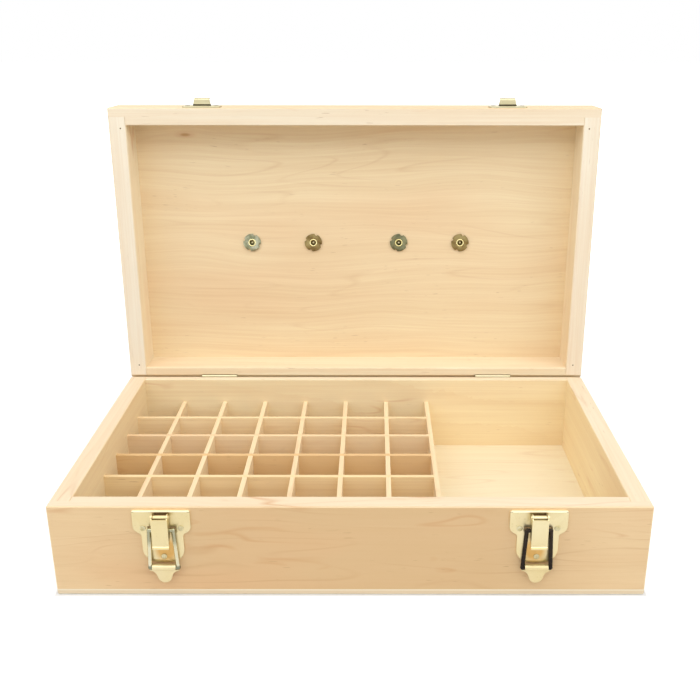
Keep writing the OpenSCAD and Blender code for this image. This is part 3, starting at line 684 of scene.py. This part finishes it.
def turned(name, profile, steps=40):
    """A round piece, drawn up from its foot: profile lists (radius, height) in mm."""
    bpy.ops.object.select_all(action="DESELECT")
    radius, height = profile[0]
    bpy.ops.mesh.primitive_circle_add(vertices=steps, radius=radius * MM,
                                      fill_type="NGON", location=(0, 0, height * MM))
    obj = bpy.context.active_object
    obj.name = name
    bpy.ops.object.transform_apply(location=True)
    all_in_edit(obj)
    for wider, higher in profile[1:]:
        bpy.ops.mesh.extrude_region_move(
            TRANSFORM_OT_translate={"value": (0, 0, (higher - height) * MM)})
        bpy.ops.transform.resize(value=(wider / radius, wider / radius, 1))
        radius, height = wider, higher
    bpy.ops.mesh.select_all(action="SELECT")
    bpy.ops.mesh.normals_make_consistent(inside=False)
    bpy.ops.object.mode_set(mode="OBJECT")
    return obj


def cross_head_screw(name, head, thick, shank, length):
    """A screw along -Z with a domed head, seated at the origin, and a cross recess. head
    and shank are radii in mm."""
    obj = turned(name, [
        (shank * 0.3, -length), (shank, 1.5 - length), (shank, 0), (head, 0),
        (head, thick * 0.45), (head * 0.9, thick * 0.75), (head * 0.62, thick * 0.95),
        (head * 0.2, thick)])
    for turn in (0, 90):
        bpy.ops.object.select_all(action="DESELECT")
        bpy.ops.mesh.primitive_cube_add(size=1, location=(0, 0, thick * MM),
                                        rotation=(0, 0, math.radians(turn)))
        blade = bpy.context.active_object
        bpy.ops.transform.resize(
            value=(head * 1.1 * MM, head * 0.24 * MM, thick * 1.1 * MM),
            orient_type="LOCAL")
        alone(obj)
        slot = obj.modifiers.new("recess", "BOOLEAN")
        slot.operation = "DIFFERENCE"
        slot.object = blade
        bpy.ops.object.modifier_apply(modifier=slot.name)
        bpy.data.objects.remove(blade)
    smoothed(obj, 30)
    return obj


# latch, strike and bracket plates with softened edges
LATCH_SHEETS = {"latch_plate": latch_plate_painted_light, "lever": plate_brass, "pull_tab": tab_brass,
                "strike": strike_brass}
for kind, metal in LATCH_SHEETS.items():
    for name in left_and_right(kind):
        sheet = cleaned_copy(name)
        rounded_over(sheet, LATCH_EASE * MM)
        stand_for(sheet, name, metal)
for name in left_and_right("handle_bracket"):
    sheet = cleaned_copy(name)
    rounded_over(sheet, BRACKET_EASE * MM)
    stand_for(sheet, name, rod_brass)

# the wood screws of the latches and strikes, each turned its own way
screw = cross_head_screw("latch_screw", head=1.8, thick=0.45, shank=1, length=8)
for side in (-1, 1):
    for n, (across, up) in enumerate(LATCH_SCREWS):
        made = copied(screw, f"latch_screw_{n + 2 + side}")
        settled(made, at(side * LATCH + across, SHEET_FRONT, RIM + up) @ FACE_FRONT
                @ Matrix.Rotation(0.4 + 1.3 * n * side, 4, "Z"))
        stand_for(made, "latch_plate_screws", screw_zinc)
    for way in (-1, 1):
        made = copied(screw, "strike_screw")
        settled(made, LID_SWING @ at(side * LATCH + way * STRIKE_SCREW_OUT, SHEET_FRONT,
                                     RIM + STRIKE_SCREW_UP) @ FACE_FRONT
                @ Matrix.Rotation(0.9 * way, 4, "Z"))
        stand_for(made, "strike_screws", screw_grey)
bpy.data.objects.remove(screw)

# tee nuts: the flange's edges are rolled, and each nut has the tone of its own plating
NUT_FINISH = {-83.5: nut_silver, -34.3: nut_zinc, 34.3: nut_blue, 83.5: nut_zinc}
nuts = cleaned_copy("tee_nuts")
rounded_over(nuts, NUT_EASE * MM)
all_in_edit(nuts)
bpy.ops.mesh.separate(type="LOOSE")
bpy.ops.object.mode_set(mode="OBJECT")
for nut in sorted(bpy.context.selected_objects, key=lambda o: o.data.vertices[0].co.x):
    nearest = min(NUT_FINISH, key=lambda x: abs(nut.data.vertices[0].co.x - x * MM))
    nut.name = "tee_nut"
    stand_for(nut, "tee_nuts", NUT_FINISH[nearest])

# a ring round the bore of each tee nut, for its rounded flare, in paler brass that paints
# the highlight on it
RING_RADIUS = 2.6
RING_WIRE = 0.42
bpy.ops.object.select_all(action="DESELECT")
bpy.ops.mesh.primitive_circle_add(vertices=12, radius=RING_WIRE * MM,
                                  location=(RING_RADIUS * MM, 0, 0),
                                  rotation=(math.pi / 2, 0, 0))
ring = bpy.context.active_object
bpy.ops.object.transform_apply(location=True, rotation=True)
all_in_edit(ring)
bpy.ops.transform.resize(value=(1, 1, 0.7))
bpy.ops.mesh.spin(steps=40, angle=2 * math.pi, center=(0, 0, 0), axis=(0, 0, 1))
bpy.ops.mesh.select_all(action="SELECT")
bpy.ops.mesh.remove_doubles(threshold=0.01 * MM)
bpy.ops.mesh.normals_make_consistent(inside=False)
bpy.ops.object.mode_set(mode="OBJECT")
smoothed(ring, 60)
for x in NUT_FINISH:
    made = copied(ring, "tee_nut_bore_ring")
    settled(made, LID_SWING @ at(x, HANDLE_Y, PANEL_IN - NUT_FLANGE))
    add_to_lid(made, bore_highlight_brass)
bpy.data.objects.remove(ring)

# the handle's bolts and its turned grip
bolt = cross_head_screw("handle_bolt", head=3.8, thick=2, shank=2, length=6)
for x in NUT_FINISH:
    made = copied(bolt, "handle_bolt")
    settled(made, LID_SWING @ at(x, HANDLE_Y, BOLT_SEAT) @ Matrix.Rotation(x, 4, "Z"))
    stand_for(made, "handle_bolts", screw_zinc)
bpy.data.objects.remove(bolt)

GRIP_END, GRIP_MIDDLE, GRIP_STEPS = 5.44, 8, 30
belly = [(GRIP_END + (GRIP_MIDDLE - GRIP_END) * math.cos(t / GRIP_STEPS * math.pi / 2),
          t / GRIP_STEPS * (GRIP_HALF - 0.6)) for t in range(-GRIP_STEPS, GRIP_STEPS + 1)]
grip = turned("grip", [(5.2, -GRIP_HALF), (GRIP_END, 0.4 - GRIP_HALF)] + belly
              + [(GRIP_END, GRIP_HALF - 0.4), (5.2, GRIP_HALF)], steps=56)
smoothed(grip, 40)
settled(grip, LID_SWING @ at(*GRIP_AXIS) @ ALONG_X)
stand_for(grip, "handle_grip", grip_lacquer)

# nails that hold the lid's corners, their heads level with the rim
nail = turned("nail", [(0.3, -10), (0.42, -9), (0.42, -0.2), (0.55, 0), (0.5, 0.05)],
              steps=16)
for x, y in NAILS:
    made = copied(nail, "corner_nail")
    settled(made, LID_SWING @ at(x, y, LID_RIM) @ UPSIDE_DOWN)
    add_to_lid(made, nail_steel)
bpy.data.objects.remove(nail)


# ---------- camera, floor and lights ----------

camera = bpy.data.objects.new("camera", bpy.data.cameras.new("camera"))
bpy.context.scene.collection.objects.link(camera)
camera.data.lens = 47.54
camera.data.sensor_width = 36
camera.data.shift_x = -0.0338
camera.data.shift_y = 0.0169
camera.data.clip_start = 0.01
CAMERA_SPOT = (0.01389, -0.59606, 0.34131)
AIM_ASIDE, AIM_DOWN, ROLL = -0.0005, 0.36385, 0.0010
camera.matrix_world = (
    Matrix.Translation(CAMERA_SPOT) @ Matrix.Rotation(AIM_ASIDE, 4, "Z")
    @ Matrix.Rotation(math.pi / 2 - AIM_DOWN, 4, "X") @ Matrix.Rotation(ROLL, 4, "Z"))
bpy.context.scene.camera = camera


def seen_directly(tree):
    """1 for what the camera, a gloss or clear glass shows, 0 for light that is shed."""
    path = place(tree, "ShaderNodeLightPath", {}).outputs
    return calc(tree, "MAXIMUM", path["Is Camera Ray"], calc(
        tree, "MAXIMUM", path["Is Glossy Ray"], path["Is Transmission Ray"]))


FLOOR_HALF = 6.0
bpy.ops.object.select_all(action="DESELECT")
bpy.ops.mesh.primitive_plane_add(size=2 * FLOOR_HALF, location=(0, 0, 0))
floor = bpy.context.active_object
floor.name = "studio_floor"
floor_paint, tree, matte = blank("floor_paint")
matte.inputs["Base Color"].default_value = shade(214, 214, 214)
matte.inputs["Roughness"].default_value = 0.9
matte.inputs["Specular IOR Level"].default_value = 0.0

# the floor is lifted to white, less so near the case, where its shadow lies, and least in
# a thin band along the case's foot, which paints a thin contact shadow there
spot = object_spot(tree)
parts = parts_of(tree, spot)
off_case = calc(
    tree, "MAXIMUM",
    calc(tree, "SUBTRACT", calc(tree, "ABSOLUTE", parts["X"]), HALF_WIDTH * MM),
    calc(tree, "SUBTRACT", calc(tree, "ABSOLUTE", parts["Y"]), -FRONT * MM))
strength = product(tree, span(tree, length_of(tree, spot), 0.3, 1.2, 0.42, 1.0),
                   span(tree, off_case, 1.0 * MM, 2.6 * MM, 0.15, 1))
lift = place(tree, "ShaderNodeEmission", {
    "Color": (1, 1, 1, 1), "Strength": product(tree, seen_directly(tree), strength)})
lit = place(tree, "ShaderNodeAddShader", {0: matte.outputs[0], 1: lift.outputs[0]})
tree.links.new(lit.outputs[0], tree.nodes["Material Output"].inputs["Surface"])
floor.data.materials.append(floor_paint)

AMBIENT = 0.55
world = bpy.data.worlds.new("studio")
bpy.context.scene.world = world
world.use_nodes = True
sky = world.node_tree
backdrop = sky.nodes["Background"]
sky.links.new(span(sky, seen_directly(sky), 0, 1, AMBIENT, 1.0),
              backdrop.inputs["Strength"])
backdrop.inputs["Color"].default_value = (1, 1, 1, 1)


def softbox(name, spot, aim, width, height, watts):
    lamp = bpy.data.lights.new(name, "AREA")
    lamp.shape = "RECTANGLE"
    lamp.size, lamp.size_y, lamp.energy = width, height, watts
    obj = bpy.data.objects.new(name, lamp)
    obj.location = spot
    look = Vector(aim) - Vector(spot)
    obj.rotation_euler = look.to_track_quat("-Z", "Y").to_euler()
    bpy.context.scene.collection.objects.link(obj)


softbox("overhead", (0, -0.52, 1.15), (0, 0.05, 0.1), 2.2, 1.3, 14.5)
softbox("side_left", (-1.6, -0.6, 0.9), (0, 0, 0.1), 1.1, 1.1, 5)
softbox("side_right", (1.6, -0.6, 0.9), (0, 0, 0.1), 1.1, 1.1, 7)
softbox("behind", (0, 1.5, 1.1), (0, 0.1, 0.12), 1.6, 1.0, 4)

bpy.context.scene.view_settings.view_transform = "Standard"
